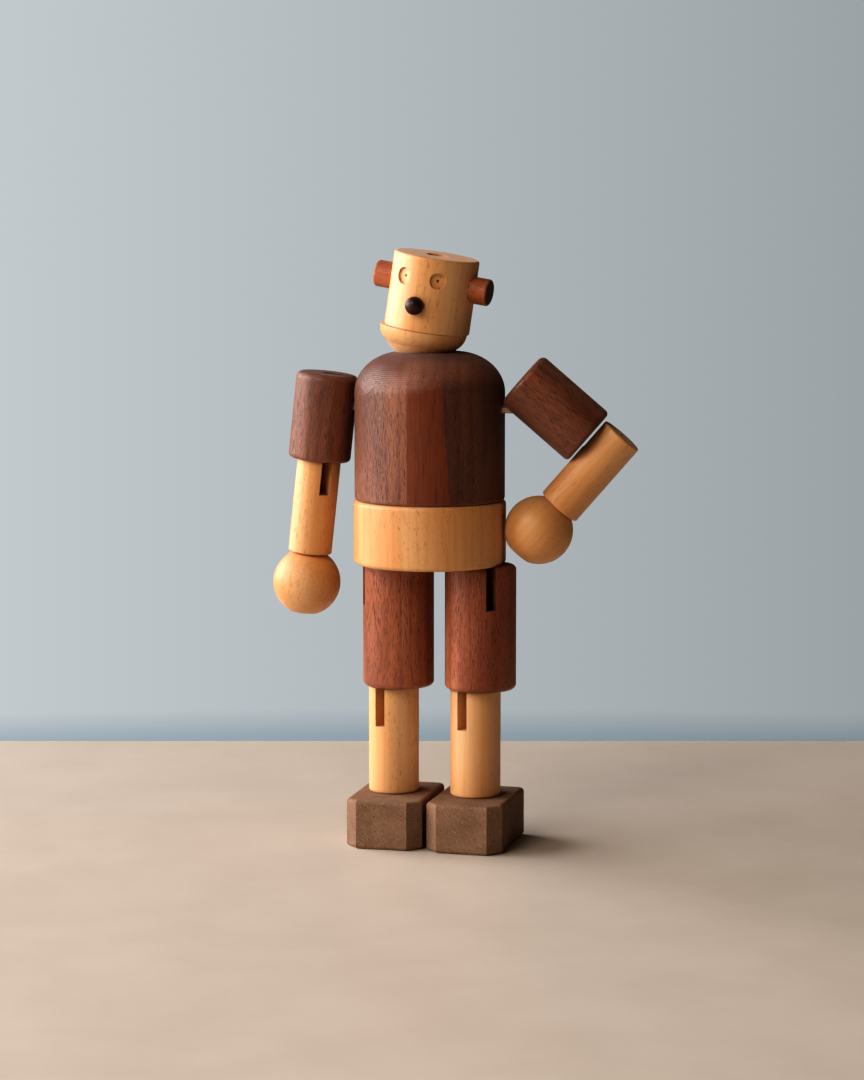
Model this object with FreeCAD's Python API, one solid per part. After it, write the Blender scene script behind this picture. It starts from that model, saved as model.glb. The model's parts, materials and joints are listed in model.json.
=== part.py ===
"""Jointed wooden toy figure strung on elastic: barrel head, drum torso, dowel limbs, ball hands, block feet.

Millimetres, +Z up, the figure faces -Y and its own left side is +X. It stands as it was posed: the left hand
rests on the hip, the head leans to the left, and the feet are flat on the floor.
"""
import FreeCAD, Part
import os
from math import asin, cos, degrees, radians, sin, sqrt

V = FreeCAD.Vector
X, Y, Z = V(1, 0, 0), V(0, 1, 0), V(0, 0, 1)

# Elastic and the holes that it runs in
STRAND_R = 1.6
HOLE_R = 2.2
KNOT_HEART_R = 2.4
KNOT_RING_R = 2.2
KNOT_R = 1.3
KNOT_HALF_H = 2.9
KNOT_LEAN = V(1, 0, 1.2)

# Heights of the joints above the floor
ANKLE_Z = 19.6
KNEE_Z = 63.0
HIP_Z = 113.0
WAIST_Z = 138.6
TORSO_TOP_Z = 197.6

# Torso
TORSO_R = 30.0
SHOULDER_WIDE, SHOULDER_HIGH = 19.0, 16.3
TORSO_EDGE = 1.2
ARM_STRAND_Z, ARM_STRAND_HALF, ARM_STRAND_OUT = 175.2, 16.0, 4.2
TORSO_PIN_Z, NECK_HOLE_R = 183.0, 3.8
TORSO_STRAND_TOP = ARM_STRAND_Z - STRAND_R

# Hips
HIPS_R = 30.5
HIPS_EDGE = 1.8
HIPS_PIN_Z = 127.0
SIDE_SLOT = 4.4
SIDE_SLOT_DEEP = 12.0
PIN_R = 2.5
PIN_TIP_Y, PIN_HEAD_Y = -12.0, 28.5
PIN_HOLE_L = 45.0

# Head and jaw: heights are above the mouth line, and the head stands a little off the bowl's axis
JAW_SPHERE_R = 17.7
JAW_SPHERE_UP = 4.3
JAW_R, JAW_ROUND_R, JAW_ROUND_LOW = 17.4, 7.68, -6.2
JAW_CENTRE = V(-1.74, -0.47, TORSO_TOP_Z + 13.3)
JAW_HOLE_R = 3.6
HEAD_R = 17.0
HEAD_H = 29.6
HEAD_EDGE, MOUTH_EDGE = 1.2, 0.5
HEAD_OVER = V(1.0, 0.8, 0)
HEAD_TURN = -5.0
HEAD_AXIS = V(0.1565, -0.028, 1)
HEAD_AXIS.normalize()
CROWN_HOLE_R, CROWN_HOLE_DEEP = 4.5, 9.0
EYE_UP, EYE_TURN, EYE_R, EYE_DEEP = 21.0, 25.3, 3.3, 1.3
PUPIL_R, PUPIL_DEEP = 0.55, 3.0
NOSE_UP, NOSE_R, NOSE_OUT = 10.3, 3.65, 18.4
EAR_UP, EAR_R, EAR_END, EAR_ROOT = 18.5, 5.3, 24.0, 12.0
EAR_EDGE, EAR_ROOT_EDGE = 1.0, 0.3

# Arms
UPPER_ARM_R, UPPER_ARM_L = 12.5, 35.0
ARM_EDGE_TOP, ARM_EDGE_END = 2.4, 1.8
FOREARM_R, FOREARM_L, FOREARM_EDGE = 8.75, 38.0, 0.8
HAND_R, HAND_FLAT_R = 13.6, 6.0
HAND_HOLE_R, HAND_HOLE_DEEP = 4.0, 8.0
ARM_SLOT_DEEP, FOREARM_SLOT_DEEP = 16.0, 13.5
ELBOW_DROP = 9.4
ARM_GAP = {-1: 0.05, 1: 0.2}
REACH = 16.6

# Legs
THIGH_R, THIGH_EDGE = 14.25, 2.0
SHIN_R, SHIN_EDGE = 10.1, 1.2
THIGH_SLOT_DEEP, SHIN_SLOT_DEEP = 17.0, 16.0
LIMB_SLOT = 4.4
KNEE_DROP, KNEE_HOLLOW = 10.6, 8.0
FOOT_W, FOOT_FRONT, FOOT_BACK = 31.0, 24.5, 20.0
TOE_CHAMFER, HEEL_CHAMFER, FOOT_EDGE = 5.1, 1.8, 1.6
SOLE_HOLE_R, SOLE_HOLE_DEEP = 4.5, 7.0

SEAT_PLAY = 0.08

# What differs between the figure's right (-1) and left (+1)
HIP_X = {-1: -13.0, 1: 21.0}
KNEE_X = {-1: -15.0, 1: 19.0}
FOOT_X = {-1: -14.0, 1: 19.3}
THIGH_FACES = {-1: -65.0, 1: 32.0}
SHIN_FACES = {-1: -19.0, 1: -19.0}
FOOT_FACES = {-1: 1.0, 1: 0.0}
FOREARM_FACES = {-1: 40.0, 1: -90.0}
ARM_OUT = {-1: 6.3, 1: 49.3}
ARM_TURN = {-1: 0.0, 1: 8.0}
SHOULDER_Z = {-1: 184.8, 1: 178.0}
SIDES = {-1: "right", 1: "left"}


def cylinder(radius, height, base=V(0, 0, 0), axis=Z):
    return Part.makeCylinder(radius, height, base, axis)


def box(low, high):
    return Part.makeBox(high[0] - low[0], high[1] - low[1], high[2] - low[2], V(*low))


def rim(shape, z):
    """The edges that lie at height z."""
    return [e for e in shape.Edges if abs(e.BoundBox.ZMin - z) < 1e-6 and abs(e.BoundBox.ZMax - z) < 1e-6]


def dowel(radius, length, top_edge, end_edge):
    """A dowel hanging from z = 0 with both of its rims rounded over."""
    shape = cylinder(radius, length, V(0, 0, -length))
    shape = shape.makeFillet(top_edge, rim(shape, 0))
    return shape.makeFillet(end_edge, rim(shape, -length))


def strand(length, base, axis=Z):
    return cylinder(STRAND_R, length, base, axis)


def turned(side):
    """Turns an arm's place about the upright line where the arm touches the torso."""
    touch = V(side * TORSO_R, 0, 0)
    turn = FreeCAD.Rotation(Z, ARM_TURN[side])
    return FreeCAD.Placement(touch - turn.multVec(touch), turn)


def placed(shape, place):
    shape.Placement = place.multiply(shape.Placement)
    return shape


def knot(centre):
    """The elastic's end tied over itself: two crossed turns round a short stub."""
    heart = Part.makeSphere(KNOT_HEART_R, centre)
    flat = Part.makeTorus(KNOT_RING_R, KNOT_R, centre, Z)
    crossed = Part.makeTorus(KNOT_RING_R, KNOT_R, centre, KNOT_LEAN)
    return heart.fuse(flat).fuse(crossed)


def elastic_slot(radius, depth):
    """The cut from a dowel's side to its centre hole, where the strand comes out on folding. It faces -Y."""
    half = LIMB_SLOT / 2
    straight = box((-half, -radius - 1, -depth), (half, 0, 1))
    return straight.fuse(cylinder(half, depth + 1, V(0, 0, -depth)))


def seat(radius, drop, face_z):
    """The hollow that a folding dowel's rim turns in, round a pivot that is drop below the face at face_z."""
    rim_reach = sqrt(radius ** 2 + drop ** 2) + SEAT_PLAY
    return Part.makeSphere(rim_reach, V(0, 0, face_z - drop))


def limb(radius, length, edges, slot_deep, faces, end_seat=None):
    """A dowel hanging from z = 0 with its slot, its centre hole and the hollow for the next joint."""
    shape = dowel(radius, length, *edges)
    shape = shape.cut(cylinder(HOLE_R, length + 2, V(0, 0, -length - 1)))
    slot = elastic_slot(radius, slot_deep)
    slot.rotate(V(0, 0, 0), Z, faces)
    shape = shape.cut(slot)
    if end_seat:
        shape = shape.cut(end_seat)
    return shape


def torso():
    """A drum with its top rim rounded over by a quarter ellipse, wider than it is high."""
    inner = TORSO_R - SHOULDER_WIDE
    low = TORSO_TOP_Z - SHOULDER_HIGH
    ellipse = Part.Ellipse(V(inner + SHOULDER_WIDE, 0, low), V(inner, 0, TORSO_TOP_Z), V(inner, 0, low))
    arc = Part.Arc(ellipse, 0, radians(90)).toShape()
    start, end = V(TORSO_R, 0, low), V(inner, 0, TORSO_TOP_Z)
    lines = [
        Part.makeLine(end, V(0, 0, TORSO_TOP_Z)),
        Part.makeLine(V(0, 0, TORSO_TOP_Z), V(0, 0, WAIST_Z)),
        Part.makeLine(V(0, 0, WAIST_Z), V(TORSO_R, 0, WAIST_Z)),
        Part.makeLine(V(TORSO_R, 0, WAIST_Z), start),
    ]
    outline = Part.Wire(Part.__sortEdges__([arc] + lines))
    shape = Part.Face(outline).revolve(V(0, 0, 0), Z, 360)
    shape = shape.makeFillet(TORSO_EDGE, rim(shape, WAIST_Z))
    neck_seat = Part.makeSphere(JAW_SPHERE_R + SEAT_PLAY, JAW_CENTRE)
    holes = [
        cylinder(HOLE_R, TORSO_PIN_Z - WAIST_Z + 1, V(0, 0, WAIST_Z - 1)),
        cylinder(NECK_HOLE_R, TORSO_TOP_Z - TORSO_PIN_Z, V(0, 0, TORSO_PIN_Z)),
        cylinder(HOLE_R, 2 * TORSO_R + 2, V(-TORSO_R - 1, 0, ARM_STRAND_Z), X),
        cylinder(PIN_R, PIN_HOLE_L, V(0, PIN_TIP_Y, TORSO_PIN_Z), Y),
    ]
    return shape.cut([neck_seat] + holes)


def hips():
    """A short drum with a slot down each side, a hole for each leg's elastic and one up to the waist."""
    height = WAIST_Z - HIP_Z
    shape = dowel(HIPS_R, height, HIPS_EDGE, HIPS_EDGE)
    shape.translate(V(0, 0, WAIST_Z))
    cuts = [cylinder(HOLE_R, height, V(0, 0, HIPS_PIN_Z))]
    cuts.append(cylinder(PIN_R, PIN_HOLE_L, V(0, PIN_TIP_Y, HIPS_PIN_Z), Y))
    for side in SIDES:
        cuts.append(cylinder(HOLE_R, HIPS_PIN_Z - HIP_Z + 1, V(HIP_X[side], 0, HIP_Z - 1)))
        cuts.append(cylinder(HOLE_R, abs(HIP_X[side]), V(0, 0, HIPS_PIN_Z), X * side))
        inner, outer = sorted((side * (HIPS_R - SIDE_SLOT_DEEP), side * (HIPS_R + 1)))
        cuts.append(box((inner, -SIDE_SLOT / 2, HIP_Z - 1), (outer, SIDE_SLOT / 2, WAIST_Z + 1)))
    return shape.cut(cuts)


def pin(z):
    """A beech pin driven in from the back, which the strands loop round."""
    return cylinder(PIN_R, PIN_HEAD_Y - PIN_TIP_Y, V(0, PIN_TIP_Y, z), Y)


def head_frame(shape, turn=0.0):
    """Moves a shape from above the mouth line's centre, facing -Y, to where the head leans."""
    shape.rotate(V(0, 0, 0), Z, turn)
    shape.translate(V(0, 0, -JAW_SPHERE_UP))
    shape.rotate(V(0, 0, 0), Z.cross(HEAD_AXIS), degrees(asin(Z.cross(HEAD_AXIS).Length)))
    shape.translate(JAW_CENTRE)
    return shape


def head():
    """The barrel, with an eye recess and pupil hole either side of the nose and the crown hole on top."""
    shape = dowel(HEAD_R, HEAD_H, HEAD_EDGE, MOUTH_EDGE)
    shape.translate(V(0, 0, HEAD_H))
    cuts = [
        cylinder(HOLE_R, HEAD_H + 2, V(0, 0, -1)),
        cylinder(CROWN_HOLE_R, CROWN_HOLE_DEEP + 1, V(0, 0, HEAD_H - CROWN_HOLE_DEEP)),
        Part.makeSphere(NOSE_R, V(0, -NOSE_OUT, NOSE_UP)),
    ]
    for side in SIDES:
        cuts.append(cylinder(EAR_R, EAR_END - EAR_ROOT, V(side * EAR_ROOT, 0, EAR_UP), X * side))
        outward = V(side * sin(radians(EYE_TURN)), -cos(radians(EYE_TURN)), 0)
        level = V(0, 0, EYE_UP)
        cuts.append(cylinder(EYE_R, EYE_DEEP + 2, level + outward * (HEAD_R - EYE_DEEP), outward))
        cuts.append(cylinder(PUPIL_R, PUPIL_DEEP + 1, level + outward * (HEAD_R - PUPIL_DEEP), outward))
    shape = shape.cut(cuts)
    shape.translate(HEAD_OVER)
    return head_frame(shape, HEAD_TURN)


def nose():
    return head_frame(Part.makeSphere(NOSE_R, HEAD_OVER + V(0, -NOSE_OUT, NOSE_UP)), HEAD_TURN)


def ear(side):
    """A short dowel glued in the side of the head, its outer rim eased."""
    shape = dowel(EAR_R, EAR_END - EAR_ROOT, EAR_EDGE, EAR_ROOT_EDGE)
    shape.rotate(V(0, 0, 0), Y, side * 90)
    shape.translate(HEAD_OVER + V(side * EAR_END, 0, EAR_UP))
    return head_frame(shape, HEAD_TURN)


def jaw():
    """The bowl under the mouth line: a rounded wall, then part of a ball that rocks in the torso's top."""
    round_x = JAW_R - JAW_ROUND_R
    half_way = asin(-JAW_ROUND_LOW / JAW_ROUND_R) / 2
    wall_mid = V(round_x + JAW_ROUND_R * cos(half_way), 0, -JAW_ROUND_R * sin(half_way))
    meet = V(sqrt(JAW_SPHERE_R ** 2 - (JAW_SPHERE_UP - JAW_ROUND_LOW) ** 2), 0, JAW_ROUND_LOW)
    ball_mid = V(meet.x / 2, 0, JAW_SPHERE_UP - sqrt(JAW_SPHERE_R ** 2 - meet.x ** 2 / 4))
    bottom = V(0, 0, JAW_SPHERE_UP - JAW_SPHERE_R)
    outline = Part.Wire([
        Part.makeLine(V(0, 0, 0), V(JAW_R, 0, 0)),
        Part.Arc(V(JAW_R, 0, 0), wall_mid, meet).toShape(),
        Part.Arc(meet, ball_mid, bottom).toShape(),
        Part.makeLine(bottom, V(0, 0, 0)),
    ])
    shape = Part.Face(outline).revolve(V(0, 0, 0), Z, 360)
    return head_frame(shape.cut(cylinder(JAW_HOLE_R, 40, V(0, 0, -20))))


def head_strand():
    """The strand from the bottom of the bowl up to the knot in the crown hole."""
    low = JAW_SPHERE_UP - JAW_SPHERE_R + 1
    shape = strand(HEAD_H - CROWN_HOLE_DEEP - low, HEAD_OVER + Z * low)
    return head_frame(shape, HEAD_TURN)


def head_knot():
    return head_frame(knot(HEAD_OVER + Z * (HEAD_H - CROWN_HOLE_DEEP + KNOT_HALF_H)), HEAD_TURN)


def arm_axis(side):
    """The way that an upper arm points, down and outwards."""
    out = radians(ARM_OUT[side])
    return V(side * sin(out), 0, -cos(out))


def arm_frame(shape, side):
    """Moves a shape from under z = 0 to hang from the shoulder, its top rim against the torso."""
    shape.rotate(V(0, 0, 0), Y, -side * ARM_OUT[side])
    shape.translate(arm_top(side))
    return placed(shape, turned(side))


def arm_top(side):
    """The centre of an upper arm's top face. Its rounded rim touches the torso's side."""
    out = radians(ARM_OUT[side])
    axis = arm_axis(side)
    inward = V(-side * cos(out), 0, -sin(out))
    rim_centre = axis * ARM_EDGE_TOP + inward * (UPPER_ARM_R - ARM_EDGE_TOP)
    wall = side * (TORSO_R + ARM_EDGE_TOP + ARM_GAP[side])
    return V(wall, 0, SHOULDER_Z[side]) - rim_centre


def shoulder_pivot(side):
    """An upper arm's raising pivot, level with the rim's touching point and REACH out from it."""
    return V(side * (TORSO_R + ARM_GAP[side] + REACH), 0, SHOULDER_Z[side])


def upper_arm(side):
    end_seat = seat(FOREARM_R, ELBOW_DROP, -UPPER_ARM_L)
    inward = 90 if side < 0 else -90
    edges = (ARM_EDGE_TOP, ARM_EDGE_END)
    shape = limb(UPPER_ARM_R, UPPER_ARM_L, edges, ARM_SLOT_DEEP, inward, end_seat)
    return arm_frame(shape, side)


def upper_arm_strand(side):
    """The strand down an upper arm, from the end of its slot to the elbow's hollow."""
    low = -UPPER_ARM_L + sqrt(FOREARM_R ** 2 + ELBOW_DROP ** 2) - ELBOW_DROP
    return arm_frame(strand(-ARM_SLOT_DEEP - low, V(0, 0, low)), side)


def shoulder_strand(side):
    """The strand that comes out of the torso's side and goes in at the arm's slot."""
    start = V(side * ARM_STRAND_HALF, 0, ARM_STRAND_Z)
    return strand(TORSO_R + ARM_STRAND_OUT - ARM_STRAND_HALF, start, X * side)


def elbow(side):
    """The elbow's pivot, on the upper arm's axis below its end face."""
    return arm_top(side) + arm_axis(side) * (UPPER_ARM_L + ELBOW_DROP)


def forearm_axis(side):
    """The right forearm hangs in line with its arm. The left one is folded square to it, towards the hip."""
    if side < 0:
        return arm_axis(side)
    out = radians(ARM_OUT[side])
    return V(-cos(out), 0, -sin(out))


def forearm_frame(shape, side):
    """Moves a shape from under z = 0 to the forearm's place at its elbow."""
    if side < 0:
        shape.translate(V(0, 0, -UPPER_ARM_L))
        return arm_frame(shape, side)
    shape.translate(V(0, 0, ELBOW_DROP))
    shape.rotate(V(0, 0, 0), Y, -(ARM_OUT[side] - 90))
    shape.translate(elbow(side))
    return placed(shape, turned(side))


def forearm(side):
    edges = (FOREARM_EDGE, FOREARM_EDGE)
    return forearm_frame(limb(FOREARM_R, FOREARM_L, edges, FOREARM_SLOT_DEEP, FOREARM_FACES[side]), side)


def forearm_strand(side):
    """The strand through a forearm and a hand, down to the knot."""
    length = FOREARM_L + 2 * hand_drop() - HAND_HOLE_DEEP
    return forearm_frame(strand(length, V(0, 0, -length)), side)


def hand_drop():
    """How far a hand's centre lies below the forearm's end: it sits on the ball's flat."""
    return sqrt(HAND_R ** 2 - HAND_FLAT_R ** 2)


def hand(side):
    """A ball with a flat at each pole, bored through, with a wider hole below for the knot."""
    centre = V(0, 0, -FOREARM_L - hand_drop())
    ball = Part.makeSphere(HAND_R, centre)
    slab = cylinder(HAND_R + 1, 2 * hand_drop(), centre - Z * hand_drop())
    low = -FOREARM_L - 2 * hand_drop()
    holes = [cylinder(HOLE_R, 40, V(0, 0, low)), cylinder(HAND_HOLE_R, HAND_HOLE_DEEP, V(0, 0, low))]
    return forearm_frame(ball.common(slab).cut(holes), side)


def hand_knot(side):
    """The knot that holds a hand on, in the wider hole under it."""
    roof = -FOREARM_L - 2 * hand_drop() + HAND_HOLE_DEEP
    return forearm_frame(knot(V(0, 0, roof - KNOT_HALF_H)), side)


def thigh(side):
    """A thigh, with the knee's hollow under where the shin stands."""
    shift = KNEE_X[side] - HIP_X[side]
    end_seat = seat(SHIN_R, KNEE_DROP, KNEE_Z - HIP_Z)
    end_seat.translate(V(shift, 0, 0))
    edges = (THIGH_EDGE, THIGH_EDGE)
    shape = limb(THIGH_R, HIP_Z - KNEE_Z, edges, THIGH_SLOT_DEEP, THIGH_FACES[side], end_seat)
    shape.translate(V(HIP_X[side], 0, HIP_Z))
    return shape


def thigh_strand(side):
    length = HIP_Z - KNEE_Z - KNEE_HOLLOW
    return strand(length, V(HIP_X[side], 0, HIP_Z - length))


def hips_strand(side):
    """The strand inside the hips, from the pin's channel down to the hip joint."""
    return strand(HIPS_PIN_Z - HIP_Z, V(HIP_X[side], 0, HIP_Z))


def shin(side):
    shape = limb(SHIN_R, KNEE_Z - ANKLE_Z, (SHIN_EDGE, SHIN_EDGE), SHIN_SLOT_DEEP, SHIN_FACES[side])
    shape.translate(V(KNEE_X[side], 0, KNEE_Z))
    return shape


def shin_strand(side):
    """The strand through a shin and into the foot, down to its knot."""
    low = SOLE_HOLE_DEEP
    return strand(KNEE_Z - low, V(KNEE_X[side], 0, low))


def foot(side):
    """A block with broad chamfers at the toe, small ones at the heel and every other edge rounded."""
    half = FOOT_W / 2
    outline = [
        (-half + TOE_CHAMFER, -FOOT_FRONT),
        (half - TOE_CHAMFER, -FOOT_FRONT),
        (half, TOE_CHAMFER - FOOT_FRONT),
        (half, FOOT_BACK - HEEL_CHAMFER),
        (half - HEEL_CHAMFER, FOOT_BACK),
        (HEEL_CHAMFER - half, FOOT_BACK),
        (-half, FOOT_BACK - HEEL_CHAMFER),
        (-half, TOE_CHAMFER - FOOT_FRONT),
    ]
    corners = [V(x, y, 0) for x, y in outline]
    shape = Part.Face(Part.makePolygon(corners + corners[:1])).extrude(V(0, 0, ANKLE_Z))
    shape = shape.makeFillet(FOOT_EDGE, rim(shape, 0) + rim(shape, ANKLE_Z))
    shape.rotate(V(0, 0, 0), Z, FOOT_FACES[side])
    shape.translate(V(FOOT_X[side], 0, 0))
    bore = V(KNEE_X[side], 0, 0)
    return shape.cut([cylinder(HOLE_R, ANKLE_Z + 1, bore), cylinder(SOLE_HOLE_R, SOLE_HOLE_DEEP, bore)])


def foot_knot(side):
    """The knot that holds a foot on, in the wider hole under its sole."""
    return knot(V(KNEE_X[side], 0, SOLE_HOLE_DEEP - KNOT_HALF_H))


def waist_strand():
    """The strand from the hips' pin up to where it loops under the arms' strand."""
    low = HIPS_PIN_Z + PIN_R
    return strand(TORSO_STRAND_TOP - low, V(0, 0, low))


def neck_strand():
    """The strand from the torso's pin up to the bowl."""
    low = TORSO_PIN_Z + PIN_R
    return strand(JAW_CENTRE.z - JAW_SPHERE_R - low, V(JAW_CENTRE.x, JAW_CENTRE.y, low))


def nodes():
    """Every piece by name, where it sits in the figure."""
    pieces = {
        "torso": torso(),
        "torso_pin": pin(TORSO_PIN_Z),
        "arm_strand": strand(2 * ARM_STRAND_HALF, V(-ARM_STRAND_HALF, 0, ARM_STRAND_Z), X),
        "neck_strand": neck_strand(),
        "hips": hips(),
        "hips_pin": pin(HIPS_PIN_Z),
        "waist_strand": waist_strand(),
        "jaw": jaw(),
        "head": head(),
        "nose": nose(),
        "head_strand": head_strand(),
        "head_knot": head_knot(),
    }
    for side, name in SIDES.items():
        pieces["ear_" + name] = ear(side)
        pieces["shoulder_strand_" + name] = shoulder_strand(side)
        pieces["upper_arm_" + name] = upper_arm(side)
        pieces["upper_arm_strand_" + name] = upper_arm_strand(side)
        pieces["forearm_strand_" + name] = forearm_strand(side)
        pieces["forearm_" + name] = forearm(side)
        pieces["hand_" + name] = hand(side)
        pieces["hand_knot_" + name] = hand_knot(side)
        pieces["hips_strand_" + name] = hips_strand(side)
        pieces["thigh_strand_" + name] = thigh_strand(side)
        pieces["thigh_" + name] = thigh(side)
        pieces["shin_strand_" + name] = shin_strand(side)
        pieces["shin_" + name] = shin(side)
        pieces["foot_" + name] = foot(side)
        pieces["foot_knot_" + name] = foot_knot(side)
    return pieces


def origin(pieces):
    """The middle of the whole figure's outer box, on the floor."""
    whole = FreeCAD.BoundBox()
    for shape in pieces.values():
        whole.add(shape.optimalBoundingBox(True, False))
    return V(whole.Center.x, whole.Center.y, 0)


def main():
    os.makedirs("parts", exist_ok=True)
    pieces = nodes()
    centre = origin(pieces)
    for name, shape in pieces.items():
        shape.translate(-centre)
        shape.exportStep(os.path.join("parts", name + ".step"))


if __name__ == "__main__":
    main()
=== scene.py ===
"""The looks of a jointed wooden toy figure: oiled beech and walnut, speckled block feet and woven elastic."""
import bpy
import json
from math import cos, pi, radians, sin
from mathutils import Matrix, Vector


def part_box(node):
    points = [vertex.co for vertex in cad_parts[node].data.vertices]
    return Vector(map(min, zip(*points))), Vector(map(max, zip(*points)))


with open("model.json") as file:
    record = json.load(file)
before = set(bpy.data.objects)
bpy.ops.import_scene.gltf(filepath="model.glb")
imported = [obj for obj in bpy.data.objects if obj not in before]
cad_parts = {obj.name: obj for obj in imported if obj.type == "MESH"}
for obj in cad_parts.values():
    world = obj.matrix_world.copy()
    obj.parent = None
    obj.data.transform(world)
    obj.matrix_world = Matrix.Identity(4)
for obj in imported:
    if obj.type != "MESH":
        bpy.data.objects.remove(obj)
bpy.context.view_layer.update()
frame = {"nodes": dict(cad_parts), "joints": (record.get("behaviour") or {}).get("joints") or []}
NODES = frame["nodes"]
JOINTS = {j["name"]: j for j in frame["joints"]}
SIDES = ("right", "left")

MM = 0.001
UP = Vector((0, 0, 1))
BACK = Vector((0, 1, 0))

# Linear colours of the woods: [palest, usual, darkest grain, pore or fleck]
BEECH = [(0.74, 0.448, 0.223), (0.665, 0.328, 0.120), (0.53, 0.225, 0.070), (0.34, 0.120, 0.034)]
BEECH_RED = [(0.72, 0.415, 0.190), (0.64, 0.305, 0.108), (0.50, 0.200, 0.058), (0.31, 0.104, 0.027)]
# The shins' paler beech: partly their own paler wood, partly painted light that makes up for the dimmer light low
# down
BEECH_PALE_AND_LIT = [(0.79, 0.510, 0.290), (0.74, 0.400, 0.170), (0.60, 0.275, 0.095), (0.39, 0.150, 0.045)]
WALNUT = [(0.33, 0.125, 0.066), (0.140, 0.038, 0.0135), (0.085, 0.022, 0.009), (0.026, 0.008, 0.004)]
RED_WALNUT = [(0.50, 0.180, 0.085), (0.265, 0.063, 0.0185), (0.160, 0.036, 0.011), (0.060, 0.014, 0.005)]
RED_WOOD = [(0.50, 0.160, 0.058), (0.38, 0.102, 0.034), (0.25, 0.062, 0.021), (0.030, 0.016, 0.011)]

# Linear colours of the rest
FOOT_BASE, FOOT_CLOUD = (0.280, 0.165, 0.105), (0.220, 0.126, 0.078)
FOOT_PALE, FOOT_DARK = (0.52, 0.36, 0.24), (0.070, 0.034, 0.020)
NOSE_BASE, NOSE_DEEP = (0.048, 0.015, 0.015), (0.022, 0.007, 0.008)
# The elastic's dark colour is painted shade in the weave's grooves, and also its darker fuzz
ELASTIC_PALE, ELASTIC_DARK = (0.72, 0.50, 0.42), (0.42, 0.24, 0.18)
TABLE_PALE, TABLE_DEEP = (0.645, 0.570, 0.500), (0.610, 0.535, 0.465)

# Noise drawn out along the grain: (size across, size along, detail, roughness), the sizes in millimetres
DRIFT = (26.0, 120.0, 2.0, 0.55)
WAVER = (9.0, 60.0, 3.0, 0.55)
FLAKE = (0.22, 1.8, 1.5, 0.5)
FINE_FIBRE = (0.16, 3.0, 2.0, 0.6)
FOOT_FIBRE = (0.32, 2.6, 2.0, 0.6)

# Noise that is the same every way: (spots in a millimetre, detail, roughness)
END_SPECKLE = (2.6, 2.0, 0.6)
SCUFF = (0.55, 3.0, 0.65)
GLOSS = (0.35, 4.0, 0.6)
FOOT_CLOUDS = (0.12, 4.0, 0.6)
FOOT_PALE_SPECKS = (1.1, 2.0, 0.65)
FOOT_DARK_SPECKS = (1.5, 2.0, 0.6)
FOOT_DUST = (3.4, 1.0, 0.5)
NOSE_CLOUDS = (0.5, 3.0, 0.6)
NOSE_DUST = (1.6, 3.0, 0.6)
ELASTIC_FUZZ = (2.2, 3.0, 0.6)
TABLE_CLOUDS = (0.02, 4.0, 0.6)
TABLE_TOOTH = (0.6, 3.0, 0.55)

# How each kind of wood is drawn. Sizes are in millimetres, a share is how much of a colour shows (0 to 1), and a
# fade is where a pattern starts and where it is full. Marks are beech's flecks and walnut's pores.
BEECH_KIND = {
    "ring_apart": 3.4, "late_share": 0.18,
    "streak": (0.9, 26.0, 4.0, 0.6), "streak_share": 0.35,
    "mark": (0.42, 2.6, 1.0, 0.4), "mark_fade": (0.635, 0.70), "mark_where": (0.36, 0.60),
    "mark_strength": 1.0, "mark_share": 0.62, "flake_glint_share": 0.0,
    "dark_end": 0.0, "wear_share": 0.35, "rough": 0.36, "bump": 0.05, "sheen": 0.21,
}
WALNUT_KIND = {
    "ring_apart": 4.6, "late_share": 0.30,
    "streak": (0.9, 14.0, 4.0, 0.6), "streak_share": 0.5,
    "mark": (0.24, 3.2, 1.5, 0.5), "mark_fade": (0.57, 0.65), "mark_where": (0.22, 0.45),
    "mark_strength": 1.0, "mark_share": 0.75, "flake_glint_share": 0.42,
    "dark_end": 0.0, "wear_share": 0.28, "rough": 0.30, "bump": 0.12, "sheen": 0.13,
}
EAR_KIND = {**WALNUT_KIND, "mark_strength": 0.35, "dark_end": 0.9}

# The growth rings: how far they wander, how slowly they drift along the grain, and the late wood's rise and fall
RING_WANDER, RING_DRIFT = 7.0, 0.04
LATE_RISE, LATE_FALL = (0.45, 0.96), (1.0, 0.965)

# Where the woods' patterns fade in
DRIFT_FADE, STREAK_FADE, FLAKE_FADE, SCUFF_FADE = (0.34, 0.66), (0.48, 0.78), (0.56, 0.68), (0.35, 0.65)
FLAKE_SHIFT = (7.0, 3.0, 11.0)

# End grain shows on faces square to the grain: darker, speckled and duller
END_FADE, END_SPECKLE_FADE = (0.75, 0.97), (0.5, 0.72)
END_SHARE, END_SPECKLE_SHARE, END_DULLNESS = 0.42, 0.35, 0.18

# The woods' surface: relief of the fibre, flakes and lathe marks, how much the gloss varies, and the sheen
FIBRE_RELIEF, FLAKE_RELIEF, LATHE_RELIEF = 0.35, 0.6, 0.20
GLOSS_CHANGE, SHEEN_ROUGH, WEAR_RADIUS = 0.16, 0.45, 0.7

# The lathe's marks: how far apart they are in millimetres, how much they waver, and the slopes that show them
LATHE_STEP, LATHE_WAVER = 0.7, 0.5
LATHE_SLOPE, LATHE_FLAT = (0.12, 0.4), (0.999, 0.9)

# The torso's three glued boards: where the middle one starts and ends in millimetres from the axis, how much its far
# seam leans, how soft a seam is, and the way that the boards lie in degrees
BOARD_SEAMS, SEAM_LEAN, SEAM_SOFT, BOARDS_TURN = (-9.0, 5.8), 0.08, 0.15, 15.0

# The middle board is redder and has fewer pores. The far board, on the side away from the key light, is darker:
# partly its own tone, partly painted shade
BOARD_USUAL, BOARD_DARKEST, BOARD_STREAK_FADE = (0.205, 0.050, 0.0140), (0.13, 0.029, 0.008), (0.40, 0.72)
BOARD_SMOOTHNESS, FAR_BOARD_TONE_AND_SHADE, BOARD_SIDE_FADE = 0.8, (0.56, 0.54, 0.56), (0.60, 0.20)

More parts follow.
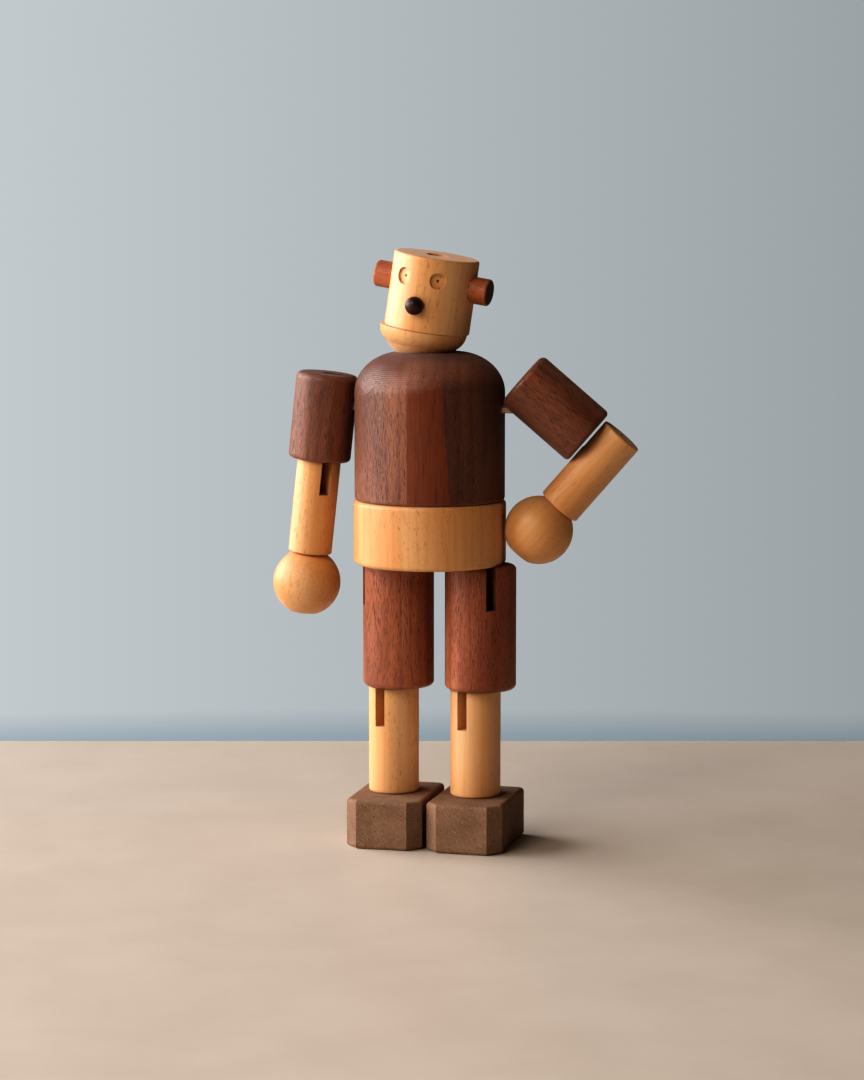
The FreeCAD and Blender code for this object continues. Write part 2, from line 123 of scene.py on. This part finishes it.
# The feet: how far their fibre leans in degrees, and where their patterns fade in
FOOT_FIBRE_LEAN, FOOT_WEAR_RADIUS, FOOT_SHIFT = 40.0, 0.9, (40.0, 9.0, 3.0)
FOOT_FIBRE_FADE, FOOT_PALE_FADE, FOOT_DARK_FADE = (0.50, 0.66), (0.57, 0.68), (0.60, 0.70)
FOOT_DUST_FADE, FOOT_CLOUD_FADE, FOOT_WEAR_FADE = (0.60, 0.72), (0.35, 0.7), (0.3, 0.6)

# The elastic's weave: ridges round a strand, and how far apart they are along it in millimetres
RIDGES_ROUND, RIDGE_STEP = 4.0, 1.1

# The wall behind, as the camera sees it: lit from the left, and darker just above the table
WALL_LEFT, WALL_RIGHT, WALL_LOW = (0.427, 0.455, 0.470), (0.282, 0.305, 0.315), (0.70, 0.77, 0.83)
WALL_WASH, WALL_LOW_FADE = (-0.15, 0.15), (-0.176, -0.185)
ROOM_LIGHT = (0.050, 0.038, 0.029)

# The camera: how far off, how high and how it is turned, with the figure's axis a little to the left of the middle
CAMERA_AZIMUTH, CAMERA_AWAY, CAMERA_HIGH = 15.0, 1.2, 0.2684
CAMERA_DOWN, CAMERA_SIDE = 6.95, 0.0009
LENS, SENSOR = 100.67, 36.0

# The table in metres, as the camera sees it
TABLE_HALF_WIDTH, TABLE_FRONT, TABLE_BACK = 2.2, -2.6, 0.215

# The lights, as the camera sees them: (across, back, up) in metres, what height they aim at, size, power and colour
KEY_LIGHT = ((-1.6, 0.30, 0.78), 0.10, (2.4, 1.4), 57.0, (0.99, 0.985, 0.99))
FILL_LIGHT = ((-1.0, -1.3, 1.3), 0.12, (1.0, 1.0), 14.0, (1.0, 0.87, 0.74))


class Tree:
    """The node tree of a material or of the world, with short calls for the nodes that they share."""

    def __init__(self, owner):
        self.owner = owner
        owner.use_nodes = True
        self.nodes = owner.node_tree.nodes
        self.links = owner.node_tree.links
        self.shader = self.nodes.get("Principled BSDF")

    def feed(self, socket, value):
        if isinstance(value, bpy.types.NodeSocket):
            self.links.new(value, socket)
        elif isinstance(value, tuple) and socket.type == "RGBA" and len(value) == 3:
            socket.default_value = (*value, 1)
        else:
            socket.default_value = value

    def math(self, operation, a, b=0.0):
        node = self.nodes.new("ShaderNodeMath")
        node.operation = operation
        self.feed(node.inputs[0], a)
        self.feed(node.inputs[1], b)
        return node.outputs[0]

    def plus(self, a, b):
        return self.math("ADD", a, b)

    def less(self, a, b):
        return self.math("SUBTRACT", a, b)

    def times(self, a, b):
        return self.math("MULTIPLY", a, b)

    def vector(self, operation, a, b=(0.0, 0.0, 0.0)):
        node = self.nodes.new("ShaderNodeVectorMath")
        node.operation = operation
        self.feed(node.inputs[0], a)
        self.feed(node.inputs[1], b)
        return node.outputs["Value" if operation in ("DOT_PRODUCT", "LENGTH") else "Vector"]

    def spots(self, space, pattern):
        """Noise that is the same every way: pattern is (spots in a millimetre, detail, roughness)."""
        node = self.nodes.new("ShaderNodeTexNoise")
        for name, value in zip(("Scale", "Detail", "Roughness"), pattern):
            node.inputs[name].default_value = value
        self.links.new(space, node.inputs["Vector"])
        return node.outputs["Fac"]

    def grain(self, space, pattern):
        """Noise drawn out along the grain: pattern is (size across, size along, detail, roughness)."""
        across, along, detail, roughness = pattern
        drawn = self.vector("MULTIPLY", space, (1 / across, 1 / across, 1 / along))
        return self.spots(drawn, (1.0, detail, roughness))

    def ramp(self, value, low, high, kind="SMOOTHSTEP"):
        """0 at low, 1 at high."""
        node = self.nodes.new("ShaderNodeMapRange")
        node.interpolation_type = kind
        self.feed(node.inputs["Value"], value)
        node.inputs["From Min"].default_value = low
        node.inputs["From Max"].default_value = high
        return node.outputs["Result"]

    def mix(self, factor, a, b, blend="MIX"):
        node = self.nodes.new("ShaderNodeMix")
        node.data_type = "RGBA"
        node.blend_type = blend
        self.feed(node.inputs[0], factor)
        self.feed(node.inputs[6], a)
        self.feed(node.inputs[7], b)
        return node.outputs[2]

    def bump(self, height, millimetres):
        node = self.nodes.new("ShaderNodeBump")
        node.inputs["Strength"].default_value = 1.0
        node.inputs["Distance"].default_value = millimetres * MM
        self.links.new(height, node.inputs["Height"])
        return node.outputs["Normal"]

    def grain_space(self, centre, axis):
        """Millimetres from a piece's centre, with z along its grain, and the piece's normal."""
        turn = axis.rotation_difference(UP).to_matrix()
        node = self.nodes.new("ShaderNodeMapping")
        node.inputs["Rotation"].default_value = turn.to_euler()
        node.inputs["Scale"].default_value = (1 / MM,) * 3
        node.inputs["Location"].default_value = -(turn @ centre) / MM
        coordinates = self.nodes.new("ShaderNodeTexCoord")
        self.links.new(coordinates.outputs["Object"], node.inputs["Vector"])
        return node.outputs["Vector"], coordinates.outputs["Normal"]

    def edge_wear(self, millimetres):
        """1 on sharp edges, 0 on flat and gently curved faces."""
        bevel = self.nodes.new("ShaderNodeBevel")
        bevel.samples = 4
        bevel.inputs["Radius"].default_value = millimetres * MM
        geometry = self.nodes.new("ShaderNodeNewGeometry")
        same = self.vector("DOT_PRODUCT", bevel.outputs["Normal"], geometry.outputs["Normal"])
        return self.ramp(self.less(1.0, same), 0.01, 0.16)

    def finish(self, colour, roughness, normal):
        self.feed(self.shader.inputs["Base Color"], colour)
        self.feed(self.shader.inputs["Roughness"], roughness)
        self.links.new(normal, self.shader.inputs["Normal"])
        return self.owner


def new_tree(name):
    return Tree(bpy.data.materials.new(name))


def seed_shift(seed):
    """Moves a piece's patterns to a place of their own, so that no two pieces are alike."""
    return seed * 37.0 % 101, seed * 53.0 % 89, seed * 71.0 % 97


def late_wood(t, space, waver, seed, ring_apart):
    """1 in the dark late wood at the end of each growth ring, round a pith beside the piece."""
    pith = t.vector("ADD", space, (31.0 + seed % 5 * 6.0, -14.0 + seed % 7 * 5.0, 0.0))
    pith = t.vector("MULTIPLY", pith, (1.0, 1.0, RING_DRIFT))
    reach = t.plus(t.vector("LENGTH", pith), t.times(waver, RING_WANDER))
    ring = t.math("FRACT", t.math("DIVIDE", reach, ring_apart))
    return t.times(t.ramp(ring, *LATE_RISE), t.ramp(ring, *LATE_FALL))


def glued_boards(t, place, along):
    """Two shares: 1 on the middle board's sides, and 1 on the far board's, which is darkened partly for its own tone
    and partly as painted shade.
    """
    turn = radians(BOARDS_TURN)
    across = t.vector("DOT_PRODUCT", place, (cos(turn), sin(turn), 0.0))
    leaning = t.plus(across, t.times(t.vector("DOT_PRODUCT", place, tuple(UP)), SEAM_LEAN))
    near_seam, far_seam = BOARD_SEAMS
    far_board_and_shade = t.ramp(leaning, far_seam - SEAM_SOFT, far_seam + SEAM_SOFT)
    middle_board = t.less(t.ramp(across, near_seam - SEAM_SOFT, near_seam + SEAM_SOFT), far_board_and_shade)
    side = t.ramp(along, *BOARD_SIDE_FADE)
    return t.times(middle_board, side), t.times(far_board_and_shade, side)


def lathe_marks(t, place, waver, along):
    """Fine rings that the lathe leaves on slopes, but not on the straight sides or the flat ends."""
    height = t.plus(t.vector("DOT_PRODUCT", place, tuple(UP)), t.times(waver, LATHE_WAVER))
    wave = t.math("SINE", t.times(height, 2 * pi / LATHE_STEP))
    return t.times(wave, t.times(t.ramp(along, *LATHE_SLOPE), t.ramp(along, *LATHE_FLAT)))


def wood(name, palette, kind, centre, axis, seed, boards):
    """Solid wood: growth rings round an off-centre pith, drifting colour, and flecks or pores along the grain."""
    t = new_tree(name)
    place, normal = t.grain_space(centre, axis)
    space = t.vector("ADD", place, seed_shift(seed))
    along = t.math("ABSOLUTE", t.vector("DOT_PRODUCT", normal, tuple(axis)))
    waver = t.grain(space, WAVER)
    streak = t.grain(space, kind["streak"])
    palest, usual, darkest, fleck = palette

    colour = t.mix(t.ramp(t.grain(space, DRIFT), *DRIFT_FADE), palest, usual)
    late = late_wood(t, space, waver, seed, kind["ring_apart"])
    colour = t.mix(t.times(late, kind["late_share"]), colour, darkest)
    colour = t.mix(t.times(t.ramp(streak, *STREAK_FADE), kind["streak_share"]), colour, darkest)

    mark = t.times(t.ramp(t.grain(space, kind["mark"]), *kind["mark_fade"]), t.ramp(waver, *kind["mark_where"]))
    mark = t.times(mark, kind["mark_strength"])
    flake_and_glint = t.ramp(t.grain(t.vector("ADD", space, FLAKE_SHIFT), FLAKE), *FLAKE_FADE)
    if boards:
        middle_board, far_board_and_shade = glued_boards(t, place, along)
        board_colour = t.mix(t.ramp(streak, *BOARD_STREAK_FADE), BOARD_USUAL, BOARD_DARKEST)
        colour = t.mix(middle_board, colour, board_colour)
        coarse = t.less(1.0, t.times(middle_board, BOARD_SMOOTHNESS))
        mark, flake_and_glint = t.times(mark, coarse), t.times(flake_and_glint, coarse)
    # Pale flakes: partly the walnut's own pale flecks, partly painted glints where the pores catch the light
    if kind["flake_glint_share"]:
        colour = t.mix(t.times(flake_and_glint, kind["flake_glint_share"]), colour, palest)
    colour = t.mix(t.times(mark, kind["mark_share"]), colour, fleck)
    if boards:
        # The far board darkened: partly its own darker tone, partly painted shade on the side away from the key
        # light
        colour = t.mix(far_board_and_shade, colour, t.mix(1.0, colour, FAR_BOARD_TONE_AND_SHADE, "MULTIPLY"))

    end = t.ramp(along, *END_FADE)
    speckle = t.times(end, t.ramp(t.spots(space, END_SPECKLE), *END_SPECKLE_FADE))
    colour = t.mix(t.times(end, END_SHARE), colour, darkest)
    # The ears' end faces are darkened almost to black
    if kind["dark_end"]:
        colour = t.mix(t.times(end, kind["dark_end"]), colour, fleck)
    colour = t.mix(t.times(speckle, END_SPECKLE_SHARE), colour, fleck)

    worn = t.times(t.edge_wear(WEAR_RADIUS), t.ramp(t.spots(space, SCUFF), *SCUFF_FADE))
    colour = t.mix(t.times(worn, kind["wear_share"]), colour, palest)

    rough = t.plus(kind["rough"], t.times(t.spots(space, GLOSS), GLOSS_CHANGE))
    rough = t.plus(rough, t.times(end, END_DULLNESS))
    height = t.less(t.times(t.grain(space, FINE_FIBRE), FIBRE_RELIEF), mark)
    height = t.plus(height, t.times(lathe_marks(t, place, waver, along), LATHE_RELIEF))
    if kind["flake_glint_share"]:
        height = t.plus(height, t.times(flake_and_glint, FLAKE_RELIEF))
    t.shader.inputs["Sheen Weight"].default_value = kind["sheen"]
    t.shader.inputs["Sheen Roughness"].default_value = SHEEN_ROUGH
    return t.finish(colour, rough, t.bump(height, kind["bump"]))


def foot_wood(name, centre, seed):
    """Grey-brown, matte and speckled like pressed cork, paler where the edges are rubbed."""
    t = new_tree(name)
    space, _ = t.grain_space(centre, UP)
    space = t.vector("ADD", space, (seed * 13.0, seed * 29.0, seed * 7.0))
    cloud = t.spots(space, FOOT_CLOUDS)
    pale = t.ramp(t.spots(space, FOOT_PALE_SPECKS), *FOOT_PALE_FADE)
    dark = t.ramp(t.spots(t.vector("ADD", space, FOOT_SHIFT), FOOT_DARK_SPECKS), *FOOT_DARK_FADE)
    dust = t.ramp(t.spots(space, FOOT_DUST), *FOOT_DUST_FADE)
    lean = t.nodes.new("ShaderNodeVectorRotate")
    lean.rotation_type = "Y_AXIS"
    lean.inputs["Angle"].default_value = radians(FOOT_FIBRE_LEAN)
    t.links.new(space, lean.inputs["Vector"])
    fibre = t.ramp(t.grain(lean.outputs["Vector"], FOOT_FIBRE), *FOOT_FIBRE_FADE)
    worn = t.times(t.edge_wear(FOOT_WEAR_RADIUS), t.ramp(cloud, *FOOT_WEAR_FADE))

    colour = t.mix(t.ramp(cloud, *FOOT_CLOUD_FADE), FOOT_BASE, FOOT_CLOUD)
    shares = ((fibre, 0.38, FOOT_PALE), (pale, 0.25, FOOT_PALE), (dark, 0.62, FOOT_DARK), (dust, 0.20, FOOT_PALE),
              (worn, 0.5, FOOT_PALE))
    for where, share, tint in shares:
        colour = t.mix(t.times(where, share), colour, tint)
    rough = t.plus(0.70, t.times(cloud, 0.2))
    height = t.less(t.plus(fibre, t.times(dust, 0.5)), dark)
    t.shader.inputs["Specular IOR Level"].default_value = 0.25
    return t.finish(colour, rough, t.bump(height, 0.10))


def lacquer(name, centre):
    """The nose: dark plum lacquer, a little uneven, with fine dust in it."""
    t = new_tree(name)
    space, _ = t.grain_space(centre, UP)
    cloud = t.spots(space, NOSE_CLOUDS)
    colour = t.mix(t.ramp(cloud, 0.35, 0.65), NOSE_BASE, NOSE_DEEP)
    rough = t.plus(0.34, t.times(t.spots(space, NOSE_DUST), 0.16))
    t.shader.inputs["Specular IOR Level"].default_value = 0.36
    return t.finish(colour, rough, t.bump(cloud, 0.03))


def elastic(name, centre, axis):
    """Woven elastic: two crossing sets of ridges wound round the strand, with painted shade in the grooves between
    them.
    """
    t = new_tree(name)
    space, _ = t.grain_space(centre, axis)
    split = t.nodes.new("ShaderNodeSeparateXYZ")
    t.links.new(space, split.inputs[0])
    x, y, z = split.outputs
    around = t.times(t.math("ARCTAN2", y, x), RIDGES_ROUND)
    lift = t.times(z, 2 * pi / RIDGE_STEP)
    one = t.math("SINE", t.plus(lift, around))
    two = t.math("SINE", t.less(lift, around))
    weave = t.ramp(t.math("MAXIMUM", one, two), -0.2, 0.9)
    fuzz = t.spots(space, ELASTIC_FUZZ)
    # Painted shade: the weave's grooves take the dark colour and its ridges the pale one
    colour = t.mix(weave, ELASTIC_DARK, ELASTIC_PALE)
    colour = t.mix(t.times(fuzz, 0.3), colour, ELASTIC_DARK)
    rough = t.plus(0.72, t.times(fuzz, 0.2))
    return t.finish(colour, rough, t.bump(t.plus(weave, t.times(fuzz, 0.3)), 0.12))


def middle(node):
    low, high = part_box(node)
    return (Vector(low) + Vector(high)) / 2


def axis_of(joint):
    return Vector(JOINTS[joint]["axis"]).normalized()


def give(node, material):
    """Puts one material on a CAD node."""
    mesh = NODES[node].data
    mesh.materials.clear()
    mesh.materials.append(material)


def grain_axes():
    """The way that each piece's grain runs."""
    axes = {name: UP for name in NODES}
    axes["head"] = axes["jaw"] = axis_of("head_turn")
    axes["torso_pin"] = axes["hips_pin"] = BACK
    for side in SIDES:
        axes["forearm_" + side] = axes["hand_" + side] = axis_of("forearm_turn_" + side)
        axes["ear_" + side] = (middle("ear_left") - middle("ear_right")).normalized()
    axes["upper_arm_right"] = axes["forearm_right"]
    # The left elbow is folded square, so that upper arm runs across its forearm
    axes["upper_arm_left"] = axis_of("shoulder_raise_left").cross(axes["forearm_left"]).normalized()
    return axes


def woods():
    """The colours and the kind of wood of each piece that isn't plain beech."""
    found = {"torso": (WALNUT, WALNUT_KIND), "hips": (BEECH_RED, BEECH_KIND)}
    for side in SIDES:
        found["upper_arm_" + side] = (WALNUT, WALNUT_KIND)
        found["thigh_" + side] = (RED_WALNUT, WALNUT_KIND)
        found["shin_" + side] = (BEECH_PALE_AND_LIT, BEECH_KIND)
        found["ear_" + side] = (RED_WOOD, EAR_KIND)
    return found


def paint():
    """Every CAD node's material."""
    axes, found = grain_axes(), woods()
    for seed, node in enumerate(sorted(NODES), start=1):
        centre = middle(node)
        if "strand" in node or "knot" in node:
            material = elastic("elastic_" + node, centre, axes[node])
        elif node == "nose":
            material = lacquer("lacquer_nose", centre)
        elif node.startswith("foot_"):
            material = foot_wood("foot_wood_" + node, centre, seed)
        else:
            palette, kind = found.get(node, (BEECH, BEECH_KIND))
            material = wood("wood_" + node, palette, kind, centre, axes[node], seed, boards=node == "torso")
        give(node, material)


def add(name, data):
    obj = bpy.data.objects.new(name, data)
    bpy.context.scene.collection.objects.link(obj)
    return obj


def camera(across, back):
    """A long lens in front of the figure and a little to its left, looking slightly down."""
    data = bpy.data.cameras.new("camera")
    data.sensor_fit = "VERTICAL"
    data.sensor_height = SENSOR
    data.lens = LENS
    data.clip_start = 0.01
    body = middle("torso")
    foot = Vector((body.x, body.y, 0))
    obj = add("camera", data)
    obj.location = foot - back * CAMERA_AWAY + across * CAMERA_SIDE + UP * CAMERA_HIGH
    obj.rotation_euler = (radians(90 - CAMERA_DOWN), 0, radians(CAMERA_AZIMUTH))
    bpy.context.scene.camera = obj


def area_light(name, across, back, place, aim_height, size, power, colour):
    data = bpy.data.lights.new(name, "AREA")
    data.shape = "RECTANGLE"
    data.size, data.size_y = size
    data.energy = power
    data.color = colour
    obj = add(name, data)
    obj.location = across * place[0] + back * place[1] + UP * place[2]
    obj.rotation_euler = (UP * aim_height - obj.location).to_track_quat("-Z", "Y").to_euler()


def table(across, back):
    """A pale table whose back edge shows."""
    wide = TABLE_HALF_WIDTH
    outline = ((-wide, TABLE_FRONT), (wide, TABLE_FRONT), (wide, TABLE_BACK), (-wide, TABLE_BACK))
    mesh = bpy.data.meshes.new("table")
    mesh.from_pydata([tuple(across * x + back * y) for x, y in outline], [], [(0, 1, 2, 3)])
    add("table", mesh)
    t = new_tree("table_top")
    space, _ = t.grain_space(Vector((0, 0, 0)), UP)
    colour = t.mix(t.ramp(t.spots(space, TABLE_CLOUDS), 0.3, 0.7), TABLE_PALE, TABLE_DEEP)
    mesh.materials.append(t.finish(colour, 0.5, t.bump(t.spots(space, TABLE_TOOTH), 0.02)))


def backdrop(across):
    """A pale wall that the camera sees, and a weak warm light from the room."""
    world = bpy.data.worlds.new("backdrop")
    bpy.context.scene.world = world
    t = Tree(world)
    direction = t.nodes.new("ShaderNodeTexCoord").outputs["Generated"]
    wash = t.ramp(t.vector("DOT_PRODUCT", direction, tuple(across)), *WALL_WASH, "LINEAR")
    low = t.ramp(t.vector("DOT_PRODUCT", direction, tuple(UP)), *WALL_LOW_FADE, "LINEAR")
    wall = t.mix(low, t.mix(wash, WALL_LEFT, WALL_RIGHT), WALL_LOW, "MULTIPLY")
    seen, lighting = (t.nodes.new("ShaderNodeBackground") for _ in range(2))
    t.feed(seen.inputs["Color"], wall)
    t.feed(lighting.inputs["Color"], ROOM_LIGHT)
    join = t.nodes.new("ShaderNodeMixShader")
    t.feed(join.inputs["Fac"], t.nodes.new("ShaderNodeLightPath").outputs["Is Camera Ray"])
    t.links.new(lighting.outputs["Background"], join.inputs[1])
    t.links.new(seen.outputs["Background"], join.inputs[2])
    t.links.new(join.outputs["Shader"], t.nodes["World Output"].inputs["Surface"])


def studio():
    """The camera, the table, a broad window light from the figure's right, a fill and the wall."""
    turn = radians(CAMERA_AZIMUTH)
    across, back = Vector((cos(turn), sin(turn), 0)), Vector((-sin(turn), cos(turn), 0))
    camera(across, back)
    table(across, back)
    area_light("key", across, back, *KEY_LIGHT)
    area_light("fill", across, back, *FILL_LIGHT)
    backdrop(across)
    bpy.context.scene.view_settings.view_transform = "Standard"
    bpy.context.scene.view_settings.look = "High Contrast"


paint()
studio()
